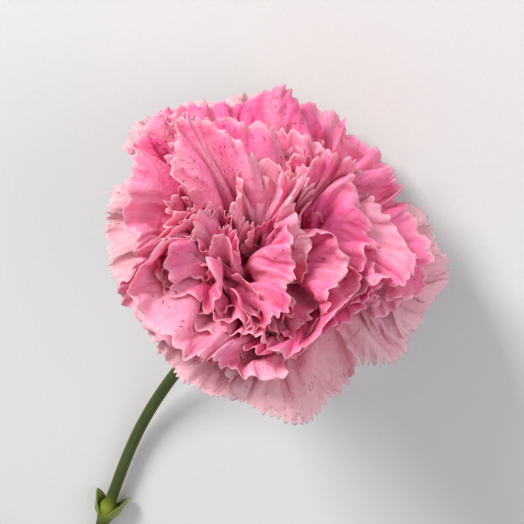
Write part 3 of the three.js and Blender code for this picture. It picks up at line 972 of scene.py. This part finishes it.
class CARNATION_OT_pistil(bpy.types.Operator):
    """Finishes the pistil, which the petals hide"""

    bl_idname = "carnation.pistil"
    bl_label = "Pistil"

    def execute(self, context):
        s = Shader("pistil_flesh")
        place = s.place()
        cloud = s.noise(place, 220.0, detail=3)
        body = s.mix(cloud.step(0.3, 0.7), (0.55, 0.60, 0.26), (0.78, 0.80, 0.55))
        normal = s.bump(s.noise(place, 1800.0), 0.3, 0.0002)
        flesh = s.node(
            "ShaderNodeBsdfPrincipled", Base_Color=body, Roughness=0.45 + cloud * 0.2, Normal=normal
        )
        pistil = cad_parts["pistil"]
        pistil.data.materials.clear()
        pistil.data.materials.append(s.surface(flesh.outputs[0]))
        return {"FINISHED"}


# ---------------------------------------------------------------- stem and leaves


def stem_place(distance):
    """The middle of the stem at distances from the calyx base, measured along the surface: its height falls
    as a parabola until it lies level, and it bends sideways through the stations."""
    distance = np.asarray(distance, float)
    start = MOUTH / MM - AXIS * (CALYX_LENGTH + CLEARANCE)
    drop = start[2] - NODE_RADIUS
    descent = 2 * drop / math.tan(BLOOM_TILT)
    fall = np.clip(1 - distance / descent, 0, None)
    stations = np.array(STEM_BENDS, float)
    places = np.linspace(0, STEM_LENGTH, 40)
    bend = np.interp(places, stations[:, 0], stations[:, 1])
    for _ in range(3):
        bend[1:-1] = (bend[:-2] + 2 * bend[1:-1] + bend[2:]) / 4
    table = spline(np.stack([places, bend], -1), np.linspace(0, 1, 400))
    sideways = np.interp(distance, table[:, 0], table[:, 1])
    return np.stack([start[0] - distance, start[1] + sideways, NODE_RADIUS + drop * fall ** 2], -1)


def stem_axes(distance):
    """The stem's middle at one distance, and its directions back, sideways and up."""
    points = stem_place(np.array([distance - 1, distance, distance + 1]))
    back = unit(points[2] - points[0])
    side = unit(np.cross([0, 0, 1], back))
    return points[1], back, side, np.cross(back, side)


class CARNATION_OT_stem(bpy.types.Operator):
    """Adds the stem with its two swollen nodes"""

    bl_idname = "carnation.stem"
    bl_label = "Stem"

    def execute(self, context):
        """A tube around the stem's middle. Its radius grows slowly along it, swells at the top as a bell
        curve and at each node as one that is steeper above than below, is finely ribbed by a cosine of the
        angle, and is drawn in at the cut."""
        distance = np.linspace(-CLEARANCE - STEM_SOCKET, STEM_LENGTH, 500)
        sides = 40
        angle = np.arange(sides) * TAU / sides
        radius = STEM_RADIUS * (0.94 + 0.1 * distance / STEM_LENGTH) + 0.9 * np.exp(-((distance / 2.2) ** 2))
        radius = radius[:, None] * (1 + 0.018 * np.cos(9 * angle[None, :]))
        for node in (UPPER_NODE, LOWER_NODE):
            past = (distance - node)[:, None]
            collar = np.where(past < 0, np.exp(-((past / 1.6) ** 2)), np.exp(-((past / 3.4) ** 2)))
            radius = radius + (NODE_RADIUS - STEM_RADIUS) * 0.96 * collar
        cut = smooth(STEM_LENGTH - distance, 0, 0.5)[:, None]
        radius = radius * (0.9 + 0.1 * cut)
        points, quads, caps = tube(stem_place(distance) * MM, radius * MM, sides)
        turn = np.concatenate([np.tile(angle / TAU, len(distance)), [0.5, 0.5]])
        length = np.concatenate([np.repeat(distance / STEM_LENGTH, sides), [0, 1]])
        stem = add_mesh("stem_stalk", points, quads, np.stack([turn, length], -1), caps)
        stem.data.materials.append(self.skin())
        hand_over(stem, "stem", "stem")
        return {"FINISHED"}

    def skin(self):
        """Green stem skin: fine lengthwise lines, a yellower collar at each node, a whitish bloom and a
        pale, fibrous cut end."""
        main = tuple(colours().stem)
        s = Shader("stem_skin")
        u, v = s.uv()
        place = s.place()
        lines = s.noise(s.combine((u * TAU).sin() * 9, (u * TAU + 1.5708).sin() * 9, v * 18), 1.0, detail=4)
        blotches = s.noise(place, 110.0, detail=3, roughness=0.6)
        grain = s.noise(place, 1500.0, detail=2)
        body = s.mix(lines.step(0.35, 0.7), tuple(c * 0.7 for c in main), tuple(c * 1.25 for c in main))
        wax = blotches.step(0.35, 0.7) * 0.07
        body = s.mix(wax, body, (0.20, 0.26, 0.14))
        for node in (UPPER_NODE, LOWER_NODE):
            collar = (v - node / STEM_LENGTH).abs().step(0.028, 0.004)
            body = s.mix(collar * 0.8, body, (0.17, 0.20, 0.012))
        body = s.mix(v.step(0.9975, 0.9995), body, (0.50, 0.55, 0.30))
        normal = s.bump(lines * 0.6 + grain * 0.4, 0.35, 0.0003)
        skin = s.node(
            "ShaderNodeBsdfPrincipled", Base_Color=body, Roughness=0.45 + blotches * 0.2, Normal=normal,
            Specular_IOR_Level=0.25,
        )
        return s.surface(skin.outputs[0])


class CARNATION_OT_leaves(bpy.types.Operator):
    """Adds the two short leaves at the upper node and the two long leaves at the lower one"""

    bl_idname = "carnation.leaves"
    bl_label = "Leaves"

    def execute(self, context):
        young = green_material("young_leaf_skin", (0.15, 0.19, 0.015), (0.36, 0.40, 0.12), 6, 0.12, 0.5)
        old = green_material("leaf_skin", tuple(colours().leaf), (0.18, 0.25, 0.13), 10, 0.4, 0.5)
        for k, side in enumerate((1, -1)):
            self.short_leaf(k, side, SHORT_LEAF_LENGTHS[k], young)
        for k, side in enumerate((1, -1)):
            self.long_leaf(k, side, LONG_LEAF_LENGTHS[k], old)
        return {"FINISHED"}

    def short_leaf(self, k, side, length, skin):
        """A pointed scale that grows out of the node. It wraps nearly half of the stem at its base, narrows
        by a power of the place along it, and leans out from the stem as its square."""
        across = np.linspace(-1, 1, 41)[:, None]
        along = np.linspace(0, 1, 41)[None, :]
        point, back, sideways, up = stem_axes(UPPER_NODE)
        root = smooth(along, 0, 0.22)
        lean = NODE_RADIUS - 0.75 + root + 1.3 * along ** 2 + 0 * across
        turn = across * (1.5 * (1 - along ** 1.3) + 0.10) * (1 - 0.12 * root)
        middle = (
            point
            + back * (1.8 - along * (length + 0.8))[..., None]
            + sideways * (side * lean * np.cos(turn))[..., None]
            + up * (side * lean * np.sin(turn))[..., None]
        )
        middle[..., 2] = np.maximum(middle[..., 2], 0.4)
        thick = 0.65 * (1 - 0.6 * np.abs(across) ** 3) * (1 - 0.3 * along) * MM
        points, quads = closed_sheet(middle * MM, thick)
        piece = add_mesh(f"short_leaf_{k + 1}_scale", points, quads, sheet_uv(41, 41))
        piece.data.materials.append(skin)
        hand_over(piece, "leaf", f"short_leaf_{k + 1}")

    def long_leaf(self, k, side, length, skin):
        """A channelled blade: its spine runs through five stations, its half-width grows from the base and
        shrinks to the tip, and its edges stand up by a share of the width times across squared."""
        across = np.linspace(-1, 1, 33)[:, None]
        along = np.linspace(0, 1, 121)
        point, back, sideways, _ = stem_axes(LOWER_NODE)
        start = NODE_RADIUS + CLEARANCE + 1.65
        stations = (  # towards the bloom, out from the stem, above the surface
            (0, NODE_RADIUS - 0.6, NODE_RADIUS + 0.1),
            (0.2 * length, start + 0.1 * length, NODE_RADIUS + 3.4),
            (0.42 * length, start + 0.22 * length, NODE_RADIUS + 6),
            (0.56 * length, start + 0.46 * length, NODE_RADIUS + 3),
            (0.58 * length, start + 0.72 * length, 0.9),
        )
        flat = np.array([point[0], point[1], 0])
        ahead, out, high = np.array(stations).T[:, :, None]
        spine = flat - back * ahead + sideways * side * out + np.array([0, 0, 1]) * high
        line = spline(spine, along)
        forward = unit(np.gradient(line, axis=0))
        breadth = unit(np.cross([0.0, 0.0, 1.0], forward))
        width = (1.7 + 1.9 * smooth(along, 0, 0.35)) * (1 - 0.94 * along ** 3)
        middle = line[None] + breadth[None] * (side * across * width)[..., None]
        middle[..., 2] += 0.28 * width * across ** 2
        middle[..., 2] = np.maximum(middle[..., 2], 0.5)
        thick = 0.6 * (1 - 0.55 * np.abs(across) ** 2) * (1 - 0.3 * along[None] ** 2)
        thick = thick + 0.35 * np.exp(-((across / 0.12) ** 2)) * (1 - along[None])
        points, quads = closed_sheet(middle * MM, thick * MM)
        piece = add_mesh(f"long_leaf_{k + 1}_blade", points, quads, sheet_uv(33, 121))
        piece.data.materials.append(skin)
        hand_over(piece, "leaf", f"long_leaf_{k + 1}")


# ---------------------------------------------------------------- stage

VIEW_ELEVATION = math.radians(60)
VIEW_ROLL = math.radians(40)
VIEW_DISTANCE = 0.42
SENSOR_WIDTH = 36  # millimetres
VIEW_WIDTH = 0.1158  # what the camera sees from side to side at the bloom
VIEW_SHIFT = (0.00155, 0.0002)  # how far left of and below the calyx mouth the camera aims


class CARNATION_OT_stage(bpy.types.Operator):
    """Adds the floor, the lights and the camera"""

    bl_idname = "carnation.stage"
    bl_label = "Stage"

    def execute(self, context):
        scene = context.scene
        scene.view_settings.view_transform = "Standard"
        self.floor()
        back = np.array([math.cos(VIEW_ELEVATION), 0, math.sin(VIEW_ELEVATION)])
        rise = AXIS - back * (AXIS @ back)
        rise /= np.linalg.norm(rise)
        across = np.cross(rise, back)
        right = math.sin(VIEW_ROLL) * rise + math.cos(VIEW_ROLL) * across
        up = math.cos(VIEW_ROLL) * rise - math.sin(VIEW_ROLL) * across
        target = MOUTH - right * VIEW_SHIFT[0] - up * VIEW_SHIFT[1]
        lens = bpy.data.cameras.new("camera")
        lens.sensor_width = SENSOR_WIDTH
        lens.lens = SENSOR_WIDTH * VIEW_DISTANCE / VIEW_WIDTH
        camera = bpy.data.objects.new("camera", lens)
        axes = Matrix([right, up, back]).transposed().to_4x4()
        camera.matrix_world = Matrix.Translation(Vector(target + back * VIEW_DISTANCE)) @ axes
        scene.collection.objects.link(camera)
        scene.camera = camera
        self.light("key", target, up * 0.55 - right * 0.55 + back * 0.62, 0.34, 12.0, (1.0, 0.985, 0.97))
        self.light("fill", target, right * 0.6 - up * 0.1 + back * 0.8, 0.7, 3.5, (0.96, 0.98, 1.0))
        world = bpy.data.worlds.new("studio")
        world.use_nodes = True
        world.node_tree.nodes["Background"].inputs["Color"].default_value = (0.9, 0.93, 1.0, 1)
        world.node_tree.nodes["Background"].inputs["Strength"].default_value = 0.62
        scene.world = world
        return {"FINISHED"}

    def light(self, name, target, offset, width, power, tone):
        """A square soft light that faces the target."""
        lamp = bpy.data.lights.new(name, "AREA")
        lamp.size = width
        lamp.energy = power
        lamp.color = tone
        light = bpy.data.objects.new(name, lamp)
        light.location = Vector(target + offset)
        light.rotation_mode = "QUATERNION"
        light.rotation_quaternion = Vector(-offset).to_track_quat("-Z", "Y")
        bpy.context.scene.collection.objects.link(light)

    def floor(self):
        """A wide plain sheet of pale card under the flower."""
        half = 3.0
        corners = np.array([[-half, -half, 0], [half, -half, 0], [half, half, 0], [-half, half, 0]], float)
        floor = add_mesh("floor", corners, np.array([[0, 1, 2, 3]]))
        s = Shader("pale_card")
        place = s.place()
        grain = s.noise(place, 900.0, detail=3)
        tone = s.mix(grain, (0.60, 0.59, 0.57), (0.64, 0.63, 0.61))
        card = s.node(
            "ShaderNodeBsdfPrincipled", Base_Color=tone, Roughness=0.85,
            Normal=s.bump(grain, 0.15, 0.0002),
        )
        floor.data.materials.append(s.surface(card.outputs[0]))


# ---------------------------------------------------------------- panel and main


OPERATORS = (
    CARNATION_OT_petals, CARNATION_OT_calyx, CARNATION_OT_pistil, CARNATION_OT_stem, CARNATION_OT_leaves,
    CARNATION_OT_stage,
)


class CARNATION_PT_panel(bpy.types.Panel):
    """Lists the carnation's sizes, colours and building steps"""

    bl_idname = "CARNATION_PT_panel"
    bl_label = "Carnation"
    bl_space_type = "VIEW_3D"
    bl_region_type = "UI"
    bl_category = "Carnation"

    def draw(self, context):
        layout = self.layout
        for group in (context.scene.carnation_sizes, context.scene.carnation_colours):
            for key in group.__annotations__:
                layout.prop(group, key)
        for operator in OPERATORS:
            layout.operator(operator.bl_idname)


CLASSES = (CarnationSizes, CarnationColours, *OPERATORS, CARNATION_PT_panel)


def register():
    """Adds the classes, and a place for the settings on every scene."""
    for item in CLASSES:
        bpy.utils.register_class(item)
    bpy.types.Scene.carnation_sizes = bpy.props.PointerProperty(type=CarnationSizes)
    bpy.types.Scene.carnation_colours = bpy.props.PointerProperty(type=CarnationColours)


def unregister():
    """Takes away what register added."""
    del bpy.types.Scene.carnation_colours
    del bpy.types.Scene.carnation_sizes
    for item in reversed(CLASSES):
        bpy.utils.unregister_class(item)


def main():
    """Builds the carnation and its stage."""
    register()
    bpy.ops.carnation.petals()
    bpy.ops.carnation.calyx()
    bpy.ops.carnation.pistil()
    bpy.ops.carnation.stem()
    bpy.ops.carnation.leaves()
    bpy.ops.carnation.stage()
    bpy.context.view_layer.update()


if __name__ == "__main__":
    main()
